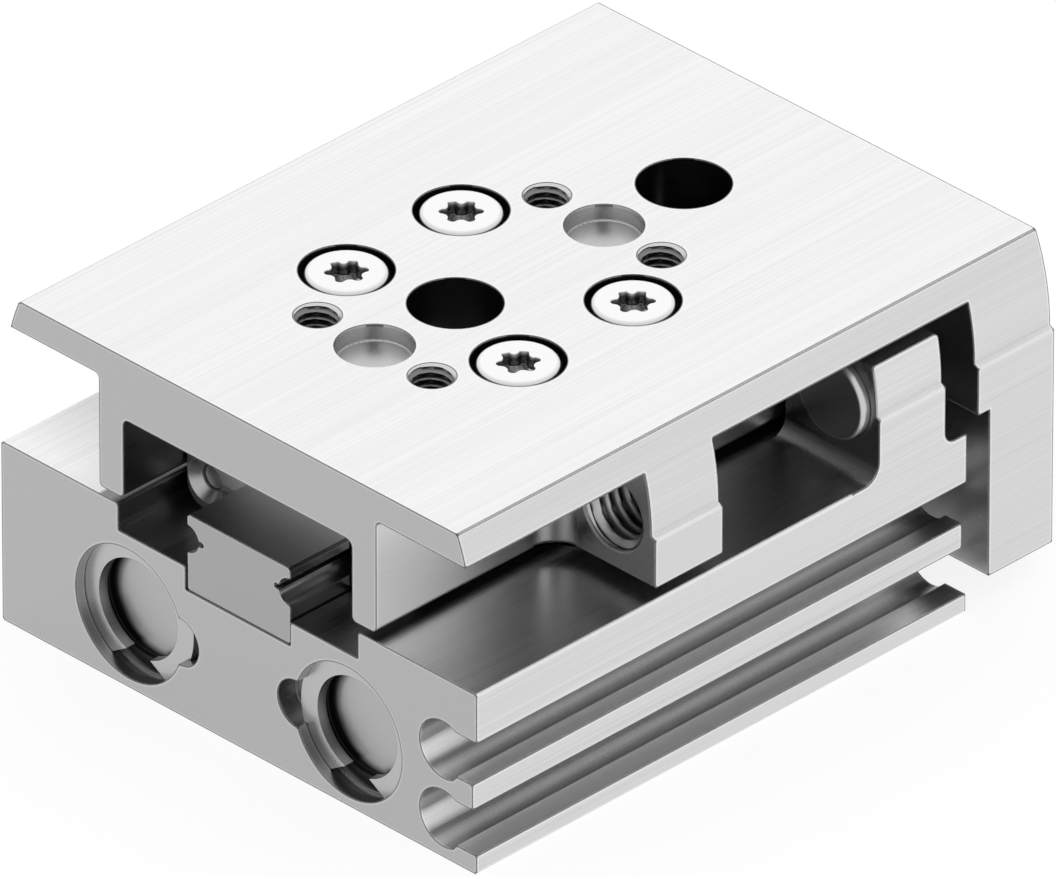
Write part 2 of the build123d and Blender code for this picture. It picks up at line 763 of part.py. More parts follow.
def build_table():
    """Table: plate with wings and flanges, stop lug and front yoke, cut to one common envelope."""
    flange_height = wing_bottom - flange_bottom
    with BuildPart() as table:
        with BuildSketch(Plane.YZ.offset(rear_x)) as section:
            with Locations((0, wing_bottom)):
                Rectangle(body_width, table_height - wing_bottom, align=(Align.CENTER, Align.MIN))
            with Locations((0, flange_bottom)):
                Rectangle(2 * flange_outer, flange_height, align=(Align.CENTER, Align.MIN))
                Rectangle(
                    carriage_width, cavity_ceiling - flange_bottom, align=(Align.CENTER, Align.MIN),
                    mode=Mode.SUBTRACT,
                )
            fillet(section.vertices().group_by(Axis.Y)[0], flange_round)
            ceiling_corners = section.vertices().filter_by_position(Axis.Y, cavity_ceiling, cavity_ceiling)
            fillet(ceiling_corners, cavity_round)
            wing_corners = section.vertices().filter_by_position(Axis.Y, wing_bottom, wing_bottom)
            fillet(wing_corners.filter_by_position(Axis.X, -flange_outer, flange_outer), wing_round)
        extrude(amount=table_length)
        # The lug grows out of the near flange and the wing above it, from a wider root inside the flange.
        with BuildSketch(Plane.XY.offset(lug_bottom)):
            with Locations((lug_rear_x, -step_out_y)):
                Rectangle(lug_length, step_out_y - flange_outer, align=Align.MIN)
            with Locations((lug_rear_x - lug_root_reach, -flange_outer)):
                Rectangle(lug_length + 2 * lug_root_reach, flange_outer - carriage_width / 2, align=Align.MIN)
        extrude(amount=table_height - lug_bottom)
        # The yoke closes the front, with a thicker head above the rods.
        for inner_x, low_z, high_z in (
            (yoke_inner_x, yoke_bottom, table_height),
            (yoke_head_inner_x, yoke_head_bottom, table_height),
        ):
            with BuildSketch(Plane.YZ.offset(inner_x)):
                with Locations((0, low_z)):
                    Rectangle(body_width, high_z - low_z, align=(Align.CENTER, Align.MIN))
            extrude(amount=table_front_x - inner_x)
        extrude(envelope(rear_x), amount=table_length, mode=Mode.INTERSECT)
        outer_edges = table.edges().filter_by(Axis.X).group_by(Axis.Z)[-1]
        chamfer(outer_edges, edge_break)

        # Holes in the top.
        top = Plane.XY.offset(table_height)
        with Locations(top):
            with Locations((carriage_middle_x, 0)):
                with GridLocations(screw_pitch_x, screw_pitch_y, 2, 2):
                    CounterBoreHole(
                        m3_clearance_diameter / 2, head_hole_diameter / 2,
                        low_head_height + low_head_setback, table_height - cavity_ceiling,
                    )
            with Locations((access_row_x + access_pitch / 2, 0)):
                with GridLocations(access_pitch, 0, 2, 1):
                    Hole(access_diameter / 2, table_height - cavity_ceiling)
            with Locations((pin_row_x + pin_pitch / 2, 0)):
                with GridLocations(pin_pitch, 0, 2, 1):
                    add(blind_hole(pin_hole_diameter, pin_hole_depth), mode=Mode.SUBTRACT)
                with GridLocations(pin_pitch, thread_spacing, 2, 2):
                    Hole(m3_diameter / 2 + thread_play, top_thread_depth)

        # The same pattern and the rod screw holes in the front.
        front = Plane(origin=(table_front_x, 0, front_pattern_height), x_dir=(0, 1, 0), z_dir=(1, 0, 0))
        with Locations(front):
            with GridLocations(pin_pitch, 0, 2, 1):
                add(blind_hole(pin_hole_diameter, pin_hole_depth), mode=Mode.SUBTRACT)
            with GridLocations(pin_pitch, thread_spacing, 2, 2):
                Hole(m3_diameter / 2 + thread_play, front_thread_depth)
        rods = Plane(origin=(table_front_x, 0, bore_height), x_dir=(0, 1, 0), z_dir=(1, 0, 0))
        with Locations(rods):
            with GridLocations(bore_spacing, 0, 2, 1):
                CounterBoreHole(
                    m3_clearance_diameter / 2, head_hole_diameter / 2, low_head_height + low_head_setback,
                    yoke_thickness,
                )
        with Locations(rods.offset(-yoke_thickness)):
            with GridLocations(bore_spacing, 0, 2, 1):
                Cylinder(
                    rod_diameter / 2 + piston_play, rod_pocket_depth, align=standing, mode=Mode.SUBTRACT
                )

        # Threaded hole for a stop screw, right through the lug.
        lug_hole = (lug_rear_x, stop_axis_y, stop_axis_height)
        lug_face = Plane(origin=lug_hole, x_dir=(0, -1, 0), z_dir=(-1, 0, 0))
        thread_radius = m5_diameter / 2 + thread_play
        with Locations(lug_face):
            CounterSinkHole(thread_radius, lug_thread_mouth / 2, lug_length, 90)
        with Locations(lug_face.offset(-lug_length)):
            Cone(thread_radius + hole_break, thread_radius, hole_break, align=standing, mode=Mode.SUBTRACT)
    return table.part


os.makedirs("parts", exist_ok=True)

save(build_housing(build_stop_block()), "housing")
save(build_rail(), "guide_rail")
save(build_rail_screws(), "rail_screws")
save(build_stop_button(), "stop_button")
for side_name, side_sign in sides.items():
    build_cylinder_ends(side_name, side_sign)
    build_piston_group(side_name, side_sign)
    save(build_balls(side_sign), "ball_row_" + side_name)

save(build_table(), "slide_table")
save(build_carriage(), "carriage_block")
build_carriage_end("front", 1)
build_carriage_end("rear", -1)
save(build_cap_screws(), "cap_screws")
save(build_wires(), "retaining_wires")

screw_plane = Plane.XY.offset(table_height - low_head_setback)
with BuildPart() as carriage_screws:
    with Locations((carriage_middle_x, 0, 0)):
        with GridLocations(screw_pitch_x, screw_pitch_y, 2, 2):
            add(low_head_screw(screw_plane, carriage_screw_length))
save(carriage_screws.part, "carriage_screws")

rod_screw_plane = Plane(
    origin=(table_front_x - low_head_setback, 0, bore_height), x_dir=(0, 1, 0), z_dir=(1, 0, 0)
)
with BuildPart() as rod_screws:
    with Locations((0, bore_spacing / 2, 0), (0, -bore_spacing / 2, 0)):
        add(low_head_screw(rod_screw_plane, rod_screw_length))
save(rod_screws.part, "rod_screws")
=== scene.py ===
"""Pneumatic slide table: finishes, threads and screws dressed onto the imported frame, in a plain studio."""

import math

import bmesh
import bpy
import numpy as np
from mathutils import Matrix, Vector


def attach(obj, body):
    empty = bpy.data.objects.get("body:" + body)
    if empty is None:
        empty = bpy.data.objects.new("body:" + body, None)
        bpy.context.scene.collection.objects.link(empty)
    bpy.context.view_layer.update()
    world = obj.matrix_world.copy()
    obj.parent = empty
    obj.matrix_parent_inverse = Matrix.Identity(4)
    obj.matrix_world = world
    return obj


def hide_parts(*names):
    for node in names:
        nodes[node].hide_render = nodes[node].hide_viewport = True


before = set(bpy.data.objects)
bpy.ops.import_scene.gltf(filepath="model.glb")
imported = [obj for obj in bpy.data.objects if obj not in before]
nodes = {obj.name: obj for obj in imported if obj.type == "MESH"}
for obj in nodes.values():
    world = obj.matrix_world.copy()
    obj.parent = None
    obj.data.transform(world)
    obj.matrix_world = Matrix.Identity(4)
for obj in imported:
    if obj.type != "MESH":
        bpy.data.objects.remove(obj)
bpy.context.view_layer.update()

# Housing
# The housing is one length of drawn aluminium, sawn off and milled: its sides keep the die lines of the
# drawing, its ends the plain cut, and its bores are turned. It carries the cylinders, the rail and the block.
MM = 0.001
SIDES = ("left", "right")


def add(tree, kind, feeds=None, **settings):
    """Adds a node with its settings, and feeds each input a value or another node's socket."""
    made = tree.nodes.new(kind)
    for key, value in settings.items():
        setattr(made, key, value)
    for key, value in (feeds or {}).items():
        if isinstance(value, bpy.types.NodeSocket):
            tree.links.new(value, made.inputs[key])
        else:
            made.inputs[key].default_value = value
    return made


def new_group(name, kind, inputs, outputs):
    """Starts a node group with named sockets. Returns its tree, its input node and its output node."""
    tree = bpy.data.node_groups.new(name, kind)
    for label, socket in inputs:
        tree.interface.new_socket(name=label, in_out="INPUT", socket_type=socket)
    for label, socket in outputs:
        tree.interface.new_socket(name=label, in_out="OUTPUT", socket_type=socket)
    return tree, tree.nodes.new("NodeGroupInput"), tree.nodes.new("NodeGroupOutput")


def math_node(tree, operation, a, b=0.0):
    """One sum, product or other operation on two numbers."""
    return add(tree, "ShaderNodeMath", {0: a, 1: b}, operation=operation).outputs[0]


def ramp(tree, value, low, high, first=0.0, last=1.0):
    """Number that goes evenly from first to last while a value goes from low to high, and no further."""
    ends = {"Value": value, "From Min": low, "From Max": high, "To Min": first, "To Max": last}
    return add(tree, "ShaderNodeMapRange", ends, clamp=True).outputs[0]


def grain_group():
    """Lines drawn along X: noise stretched by a length and a width in millimetres.

    Lines has the fine ones, and Bands the broad ones, which are BAND_WIDTH times as wide.
    """
    tree, given, out = new_group(
        "drawn_grain", "ShaderNodeTree",
        [("Length", "NodeSocketFloat"), ("Width", "NodeSocketFloat")],
        [("Lines", "NodeSocketFloat"), ("Bands", "NodeSocketFloat")],
    )
    place = add(tree, "ShaderNodeTexCoord").outputs["Object"]
    for label, wider in (("Lines", 1.0), ("Bands", BAND_WIDTH)):
        along = math_node(tree, "DIVIDE", 1 / MM / wider**0.5, given.outputs["Length"])
        across = math_node(tree, "DIVIDE", 1 / MM / wider, given.outputs["Width"])
        stretch = add(tree, "ShaderNodeCombineXYZ", {0: along, 1: across, 2: across}).outputs[0]
        point = add(tree, "ShaderNodeVectorMath", {0: place, 1: stretch}, operation="MULTIPLY").outputs[0]
        look = {"Vector": point, "Scale": 1.0, "Detail": 3.0, "Roughness": 0.6}
        noise = add(tree, "ShaderNodeTexNoise", look).outputs[0]
        tree.links.new(ramp(tree, noise, 0.3, 0.7), out.inputs[label])
    return tree


def facing_group():
    """Masks of the cut faces, which look along X, of the sides, which look along Y, and of what looks down.

    Each mask rises from a start of its own, over FACING_BLUR, with the part of the normal along that axis.
    The levels that metal gives these faces are painted shade, and for the cut faces partly their plain finish
    too.
    """
    tree, _, out = new_group(
        "facing", "ShaderNodeTree", [],
        [("Cut", "NodeSocketFloat"), ("Side", "NodeSocketFloat"), ("Under", "NodeSocketFloat")],
    )
    normal = add(tree, "ShaderNodeTexCoord").outputs["Normal"]
    parts = add(tree, "ShaderNodeSeparateXYZ", {0: normal}).outputs
    for label, size, start in (
        ("Cut", math_node(tree, "ABSOLUTE", parts[0]), 0.8),
        ("Side", math_node(tree, "ABSOLUTE", parts[1]), 0.3),
        ("Under", math_node(tree, "MULTIPLY", parts[2], -1.0), 0.8),
    ):
        tree.links.new(ramp(tree, size, start, start + FACING_BLUR), out.inputs[label])
    return tree


def edge_group():
    """Broken edge: the rounded normal, a painted highlight each side of an edge, and a painted dark line
    between.

    The masks come from the share of short rays into the metal that leave it again: none on a flat face, half
    on a square edge. The third mask paints shade over the whole of a narrow slanted face, for as much as
    Slant says.
    """
    tree, given, out = new_group(
        "broken_edge", "ShaderNodeTree",
        [("Radius", "NodeSocketFloat"), ("Slant", "NodeSocketFloat")],
        [("Highlight", "NodeSocketFloat"), ("Edge_line", "NodeSocketFloat"), ("Chamfer_shade", "NodeSocketFloat"),
         ("Normal", "NodeSocketVector")],
    )
    reach = math_node(tree, "MULTIPLY", given.outputs["Radius"], MM)
    kept = add(
        tree, "ShaderNodeAmbientOcclusion", {"Distance": reach}, samples=16, inside=True, only_local=True
    ).outputs["AO"]
    gone = math_node(tree, "SUBTRACT", 1.0, kept)
    normal = add(tree, "ShaderNodeTexCoord").outputs["Normal"]
    most = 0.0
    for part in add(tree, "ShaderNodeSeparateXYZ", {0: normal}).outputs:
        most = math_node(tree, "MAXIMUM", most, math_node(tree, "ABSOLUTE", part))
    slanted = math_node(tree, "LESS_THAN", most, SLANTED_BELOW)
    narrow = math_node(tree, "MULTIPLY", slanted, ramp(tree, gone, 0.005, 0.04))
    narrow = math_node(tree, "MULTIPLY", narrow, given.outputs["Slant"])
    tree.links.new(ramp(tree, gone, 0.02, 0.08), out.inputs["Highlight"])
    tree.links.new(ramp(tree, gone, 0.25, 0.37), out.inputs["Edge_line"])
    tree.links.new(narrow, out.inputs["Chamfer_shade"])
    rounded = add(tree, "ShaderNodeBevel", {"Radius": reach}, samples=4).outputs[0]
    tree.links.new(rounded, out.inputs["Normal"])
    return tree


def recess_group():
    """How open a point is to its own piece's surroundings, from 0 deep in a recess to 1 in the open."""
    tree, given, out = new_group(
        "recess", "ShaderNodeTree", [("Reach", "NodeSocketFloat")], [("Open", "NodeSocketFloat")]
    )
    reach = math_node(tree, "MULTIPLY", given.outputs["Reach"], MM)
    seen = add(tree, "ShaderNodeAmbientOcclusion", {"Distance": reach}, samples=8, only_local=True)
    tree.links.new(ramp(tree, seen.outputs["AO"], 0.15, 0.5), out.inputs["Open"])
    return tree


BAND_WIDTH = 9.0
FACING_BLUR = 0.15
SLANTED_BELOW = 0.845
GRAIN, FACING, EDGE, RECESS = grain_group(), facing_group(), edge_group(), recess_group()


def place_group(tree, group, **feeds):
    """Puts a shared effect into a material with this material's own values."""
    made = tree.nodes.new("ShaderNodeGroup")
    made.node_tree = group
    for key, value in feeds.items():
        made.inputs[key].default_value = value
    return made.outputs


def mix(tree, factor, a, b):
    """Colour or number between a and b by a factor."""
    kind, first = ("RGBA", 6) if isinstance(a, tuple) else ("FLOAT", 2)
    return add(tree, "ShaderNodeMix", {0: factor, first: a, first + 1: b}, data_type=kind).outputs[first // 3]


def grey(level):
    """Grey of a level."""
    return (level, level, level, 1.0)


def within(tree, value, low, high, blur):
    """Mask of where a number lies between two limits, soft over blur on each side."""
    over = ramp(tree, value, low - blur, low + blur)
    past = ramp(tree, value, high + blur, high - blur)
    return math_node(tree, "MULTIPLY", over, past)


def both_of(tree, first, second):
    """Mask of where two masks overlap."""
    return math_node(tree, "MULTIPLY", first, second)


def painted_darker(tree, mask, level, share):
    """Level that falls to a share of itself where a mask is full: painted shade."""
    return mix(tree, mask, level, math_node(tree, "MULTIPLY", level, share))


def distance_to(tree, first, second, place):
    """Distance between two coordinates and a place, in millimetres."""
    point = add(tree, "ShaderNodeCombineXYZ", {0: first, 1: second}).outputs[0]
    return add(
        tree, "ShaderNodeVectorMath", {0: point, 1: (*place, 0.0)}, operation="DISTANCE"
    ).outputs["Value"]


def millimetres(tree):
    """Place on the piece in millimetres, as three numbers."""
    place = add(tree, "ShaderNodeTexCoord").outputs["Object"]
    point = add(tree, "ShaderNodeVectorMath", {0: place, "Scale": 1 / MM}, operation="SCALE").outputs[0]
    return add(tree, "ShaderNodeSeparateXYZ", {0: point}).outputs


GRAIN_LENGTH = 40.0
RECESS_REACH = 5.0
BAND_SHARE = 0.25
# Painted light at edges: the first pair brightens the strip each side of an edge, a painted highlight; the
# second pair darkens the line on the edge and narrow slanted faces, painted shade.
HIGHLIGHT_GAIN, HIGHLIGHT_MOST = 1.22, 0.97
EDGE_LINE_SHARE, CHAMFER_SHADE_SHARE = 0.27, 0.26
ROUGHNESS_SWING = 0.08
RELIEF_DEPTH = 0.05


def metal(
    name, base, cut, roughness, side=0.0, under=0.0, width=0.1, contrast=0.03, bump=0.02, edge=0.16,
    slant=0.0, shade=0.08, dark=None,
):
    """Drawn or ground metal: lines along X, plain cut faces, broken edges with a painted highlight and a
    painted dark line, and painted shade deep in recesses.

    side and under are the levels of the faces that look along Y and down, where they differ from base:
    painted shade by the way a face looks. cut is the level of the cut faces, partly their plain finish and
    partly painted shade. shade is the level deep in a recess. dark, if given, paints shade in further places.
    """
    material = bpy.data.materials.new(name)
    material.use_nodes = True
    tree = material.node_tree
    shader = tree.nodes["Principled BSDF"]
    shader.inputs["Metallic"].default_value = 1.0
    grain = place_group(tree, GRAIN, Length=GRAIN_LENGTH, Width=width)
    facing = place_group(tree, FACING)
    edges = place_group(tree, EDGE, Radius=edge, Slant=slant)
    exposed = place_group(tree, RECESS, Reach=RECESS_REACH)["Open"]
    # Painted shade by the way a face looks: faces along Y and faces looking down take darker levels, and the
    # cut faces' level is partly their plain finish and partly painted shade.
    level = mix(tree, facing["Side"], base, side or base)
    level = mix(tree, facing["Under"], level, under or base)
    level = mix(tree, facing["Cut"], level, cut)
    tone = mix(tree, BAND_SHARE, grain["Lines"], grain["Bands"])
    drawn = math_node(tree, "SUBTRACT", 1.0, facing["Cut"])
    swing = math_node(tree, "MULTIPLY", math_node(tree, "SUBTRACT", tone, 0.5), 2 * contrast)
    swing = math_node(tree, "MULTIPLY", swing, drawn)
    level = math_node(tree, "MULTIPLY", level, math_node(tree, "ADD", swing, 1.0))
    if dark:
        level = dark(tree, level)
    # Painted shade deep in a recess: the level falls to shade where the piece closes round the point.
    level = mix(tree, exposed, shade, level)
    # A painted highlight each side of an edge, a painted dark line on it, and painted shade on narrow slanted
    # faces.
    bright = math_node(tree, "MINIMUM", math_node(tree, "MULTIPLY", level, HIGHLIGHT_GAIN), HIGHLIGHT_MOST)
    level = mix(tree, edges["Highlight"], level, bright)
    level = painted_darker(tree, edges["Edge_line"], level, EDGE_LINE_SHARE)
    level = painted_darker(tree, edges["Chamfer_shade"], level, CHAMFER_SHADE_SHARE)
    final = add(tree, "ShaderNodeCombineColor", {0: level, 1: level, 2: level}).outputs[0]
    tree.links.new(final, shader.inputs["Base Color"])
    rough = math_node(tree, "MULTIPLY", tone, ROUGHNESS_SWING)
    rough = math_node(tree, "ADD", rough, roughness - ROUGHNESS_SWING / 2)
    tree.links.new(rough, shader.inputs["Roughness"])
    relief = add(
        tree, "ShaderNodeBump",
        {"Height": math_node(tree, "MULTIPLY", tone, drawn), "Strength": bump, "Distance": RELIEF_DEPTH * MM,
         "Normal": edges["Normal"]},
    )
    tree.links.new(relief.outputs[0], shader.inputs["Normal"])
    return material


MERGE_REACH = 1e-7
SHARP_ANGLE = 0.5


def shading_group():
    """Joins a frame piece's loose triangles and shades them round, except over edges past SHARP_ANGLE."""
    tree, given, out = new_group(
        "round_shading", "GeometryNodeTree",
        [("Geometry", "NodeSocketGeometry")], [("Geometry", "NodeSocketGeometry")],
    )
    joined = add(tree, "GeometryNodeMergeByDistance", {"Geometry": given.outputs[0], "Distance": MERGE_REACH})
    angle = add(tree, "GeometryNodeInputMeshEdgeAngle").outputs[0]
    sharp = add(
        tree, "FunctionNodeCompare", {0: angle, 1: SHARP_ANGLE}, data_type="FLOAT", operation="GREATER_THAN"
    ).outputs[0]
    smooth = add(
        tree, "GeometryNodeSetShadeSmooth", {0: joined.outputs[0], "Shade Smooth": True}, domain="FACE"
    ).outputs[0]
    split = add(
        tree, "GeometryNodeSetShadeSmooth", {0: smooth, "Selection": sharp, "Shade Smooth": False},
        domain="EDGE",
    ).outputs[0]
    tree.links.new(split, out.inputs[0])
    return tree


SHADING = shading_group()


def dress(name, material):
    """Gives a frame piece its finish and its round shading."""
    piece = nodes[name]
    if not piece.material_slots:
        piece.data.materials.append(material)
    for slot in piece.material_slots:
        slot.material = material
    piece.modifiers.new("shading", "NODES").node_group = SHADING
    piece.modifiers.new("weighted", "WEIGHTED_NORMAL").keep_sharp = True


def axes_along(along):
    """Two directions square to a third, right-handed with it."""
    along = np.asarray(along, float)
    across = np.cross(along, (0.0, 0.0, 1.0) if abs(along[2]) < 0.9 else (1.0, 0.0, 0.0))
    across /= np.linalg.norm(across)
    return across, np.cross(along, across), along


def turned_grid(origin, along, depths, radii, columns):
    """Points of a surface round an axis, row by row: origin + along * depth + radius * (cos turn, sin turn).

    depths has one number for each row, and radii one for each row or one for each row and column.
    """
    across, up, along = axes_along(along)
    angle = np.linspace(0.0, 2 * np.pi, columns, endpoint=False)
    ring = np.cos(angle)[:, None] * across + np.sin(angle)[:, None] * up
    radii = np.broadcast_to(np.reshape(radii, (len(depths), -1)), (len(depths), columns))
    return np.asarray(origin) + np.reshape(depths, (-1, 1, 1)) * along + radii[:, :, None] * ring


CREASE_ANGLE = 0.6


def skin(name, grids, body, finish, ring=False):
    """Closed mesh from grids of points in millimetres: quads between neighbours, with its rows closed round.

    A grid's last row joins its first if ring is set. Otherwise its end rows are one point each, and merge.
    """
    made = bmesh.new()
    for grid in grids:
        rows, columns = grid.shape[:2]
        points = grid.reshape(-1, 3) * MM
        number = np.arange(rows * columns).reshape(rows, columns)
        low = number if ring else number[:-1]
        high = np.roll(number, -1, 0) if ring else number[1:]
        quads = np.stack([low, np.roll(low, -1, 1), np.roll(high, -1, 1), high], -1).reshape(-1, 4)
        part = bpy.data.meshes.new(name)
        part.from_pydata(points, [], quads)
        made.from_mesh(part)
        bpy.data.meshes.remove(part)
    bmesh.ops.remove_doubles(made, verts=made.verts, dist=MERGE_REACH)
    bmesh.ops.recalc_face_normals(made, faces=made.faces)
    mesh = bpy.data.meshes.new(name)
    made.to_mesh(mesh)
    made.free()
    mesh.shade_smooth()
    mesh.set_sharp_from_angle(angle=CREASE_ANGLE)
    mesh.materials.append(finish)
    piece = bpy.data.objects.new(name, mesh)
    bpy.context.scene.collection.objects.link(piece)
    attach(piece, body)
    return piece


THREAD_DEPTH = 0.541
THREAD_COLUMNS, ROWS_PER_TURN = 48, 10
THREAD_START, THREAD_SKIN = 0.02, 0.004


def thread_wall(origin, along, major, pitch, length, outer, mouths=(1,)):
    """Grid of a thin threaded wall for a hole from origin inwards along an axis.

    The inner radius is a cut-off triangle wave of (depth / pitch - angle / turn), between the major and the
    minor radius, and never less than a 45 degree cone at each mouth. The outer radius is constant.
    """
    minor = major - THREAD_DEPTH * pitch
    columns, rows = THREAD_COLUMNS, int(round(length / pitch * ROWS_PER_TURN)) + 1
    depth = np.linspace(THREAD_START, length, rows)
    turn = np.arange(columns) / columns
    wave = np.abs(2 * np.mod(depth[:, None] / pitch - turn, 1.0) - 1)
    radius = minor + (major - minor) * np.clip((wave - 0.15) / 0.7, 0.0, 1.0)
    for mouth in mouths:
        from_mouth = depth if mouth > 0 else length - depth
        radius = np.maximum(radius, (outer - from_mouth)[:, None])
    radius = np.minimum(radius, outer - THREAD_SKIN)
    wall = np.full((rows, columns), outer)
    depths = np.concatenate([depth, depth[::-1]])
    return turned_grid(origin, along, depths, np.concatenate([radius, wall]), columns)


REAR, BEYOND = -21.4, 60.0
BODY_LEFT, BODY_TOP = 20.8, 13.0
CYLINDER_Y, CYLINDER_Z, BORE_REACH = 9.6, 5.35, 6.3
SHADED_HALF, CHANNEL_LOW = 12.2, 9.0
BLOCK_REAR = REAR + 35.1
PORT_X, PORT_Z, PORT_SINK = (6.3, 34.8), 8.0, 0.06
BASE_THREAD_X = 16.0
# Painted shade levels in the channel and bores, and shares for the shelves and the block's rear.
CHANNEL_LEVEL, BORE_LEVEL = 0.3, 0.42
SHELF_SHARE, BLOCK_SHARE = 0.75, 0.48


def channel_shade(tree, level):
    """Paints shade into a level in the channel, on the shelves beside it, in the bores, and on the block's
    rear.
    """
    x, y, z = millimetres(tree)
    reach = math_node(tree, "ABSOLUTE", y)
    behind = within(tree, x, REAR + 0.03, BEYOND, 0.01)
    covered = within(tree, reach, -1.0, SHADED_HALF, 0.15)
    channel = both_of(tree, covered, within(tree, z, CHANNEL_LOW, BODY_TOP + 0.5, 0.1))
    bore = within(tree, distance_to(tree, reach, z, (CYLINDER_Y, CYLINDER_Z)), -1.0, BORE_REACH, 0.05)
    level = mix(tree, both_of(tree, channel, behind), level, CHANNEL_LEVEL)
    level = mix(tree, both_of(tree, bore, behind), level, BORE_LEVEL)
    inward = within(tree, x, REAR + 4.0, BEYOND, 3.0)
    shelf = both_of(tree, inward, within(tree, z, BODY_TOP - 0.05, BODY_TOP + 0.1, 0.04))
    shelf = both_of(tree, shelf, within(tree, reach, SHADED_HALF, BODY_LEFT - 0.05, 0.05))
    level = painted_darker(tree, shelf, level, SHELF_SHARE)
    face = within(tree, x, BLOCK_REAR - 1.1, BLOCK_REAR + 0.2, 0.02)
    block = both_of(tree, face, within(tree, z, BODY_TOP + 0.3, BEYOND, 0.3))
    block = both_of(tree, block, within(tree, reach, -1.0, BODY_LEFT - 0.05, 0.05))
    return painted_darker(tree, block, level, BLOCK_SHARE)


# The lower side level and the dark function paint shade on the housing.
housing_finish = metal(
    "housing_aluminium", base=0.9, side=0.7, cut=0.46, roughness=0.3, contrast=0.11, edge=0.2,
    dark=channel_shade,
)
thread_finish = metal(
    "cut_thread", base=0.85, cut=0.85, roughness=0.25, contrast=0.01, bump=0.0, edge=0.03, shade=0.03
)
dress("housing", housing_finish)
skin("port_threads", [
    thread_wall(
        (REAR + x, BODY_LEFT - PORT_SINK, PORT_Z), (0, -1, 0), major=2.5, pitch=0.8, length=4.9, outer=2.52
    ) for x in PORT_X
], "housing", thread_finish, ring=True)
skin("base_threads", [
    thread_wall((x, 0.0, 0.0), (0, 0, 1), major=2.0, pitch=0.7, length=5.6, outer=2.02)
    for x in (-BASE_THREAD_X, BASE_THREAD_X)
], "housing", thread_finish, ring=True)

# Cylinders
# Each of the two bores holds a cover and a bush with their seals and spring rings, and a piston on its rod.
# Covers and bushes are turned aluminium, rings are bent spring steel, seals are black rubber.
# Place, size and level of the painted shadow crescent on each cover's face.
RIM_SHIFT_Y, RIM_SHIFT_Z = -0.75, 0.25
RIM_INNER, RIM_OUTER, RIM_BLUR = 3.5, 5.0, 0.3
RIM_LEVEL = 0.05


def cover_rim_shadow(tree, level):
    """Paints a shadow along one side of each cover's face, beside the ring.

    What lies outside a disc that is shifted from the cover's middle gets dark, so the place is a crescent.
    """
    x, y, z = millimetres(tree)
    behind = within(tree, x, REAR - 1.0, 0.0, 0.1)
    for middle in (-CYLINDER_Y, CYLINDER_Y):
        away = distance_to(tree, y, z, (middle + RIM_SHIFT_Y, CYLINDER_Z + RIM_SHIFT_Z))
        rim = both_of(tree, within(tree, away, RIM_INNER, RIM_OUTER, RIM_BLUR), behind)
        rim = both_of(tree, rim, within(tree, y, middle - 6.0, middle + 6.0, 0.1))
        level = mix(tree, rim, level, RIM_LEVEL)
    return level


# Covers with a painted shadow crescent beside the ring.
turned_finish = metal("cover_aluminium", base=0.6, cut=0.47, roughness=0.35, edge=0.08, dark=cover_rim_shadow)
ring_finish = metal("ring_steel", base=0.42, cut=0.5, roughness=0.3, edge=0.06)
rod_finish = metal("rod_steel", base=0.8, cut=0.6, roughness=0.12, contrast=0.02)
piston_finish = metal("piston_aluminium", base=0.7, cut=0.6, roughness=0.3)

MOTTLE_PER_MM = 4.0
SPECK = 0.25


def matt(name, level, roughness, tint=(1.0, 1.0, 1.0)):
    """Moulded plastic or rubber: a dull colour with a fine mottle and a slight grain."""
    material = bpy.data.materials.new(name)
    material.use_nodes = True
    tree = material.node_tree
    shader = tree.nodes["Principled BSDF"]
    place = add(tree, "ShaderNodeTexCoord").outputs["Object"]
    mottle = {"Vector": place, "Scale": MOTTLE_PER_MM / MM, "Detail": 4.0}
    mottle = add(tree, "ShaderNodeTexNoise", mottle).outputs[0]
    low = tuple(level * (1 - SPECK) * t for t in tint) + (1.0,)
    high = tuple(level * (1 + SPECK) * t for t in tint) + (1.0,)
    tree.links.new(mix(tree, mottle, low, high), shader.inputs["Base Color"])
    shader.inputs["Roughness"].default_value = roughness
    relief = add(tree, "ShaderNodeBump", {"Height": mottle, "Strength": 0.3, "Distance": 0.02 * MM})
    tree.links.new(relief.outputs[0], shader.inputs["Normal"])
    return material


seal_finish = matt("seal_rubber", 0.03, 0.55)
cushion_finish = matt("cushion_rubber", 0.12, 0.5, tint=(0.8, 0.9, 1.2))
magnet_finish = matt("magnet", 0.09, 0.35)
for side in SIDES:
    for name, finish in (
        ("rear_cover_", turned_finish), ("rod_bush_", turned_finish), ("cover_ring_", ring_finish),
        ("bush_ring_", ring_finish), ("cover_seal_", seal_finish), ("bush_seal_", seal_finish),
        ("rod_seal_", seal_finish), ("rear_cushion_", cushion_finish), ("front_cushion_", cushion_finish),
        ("piston_", piston_finish), ("piston_seals_", seal_finish), ("piston_magnet_", magnet_finish),
        ("piston_rod_", rod_finish),
    ):
        dress(name + side, finish)

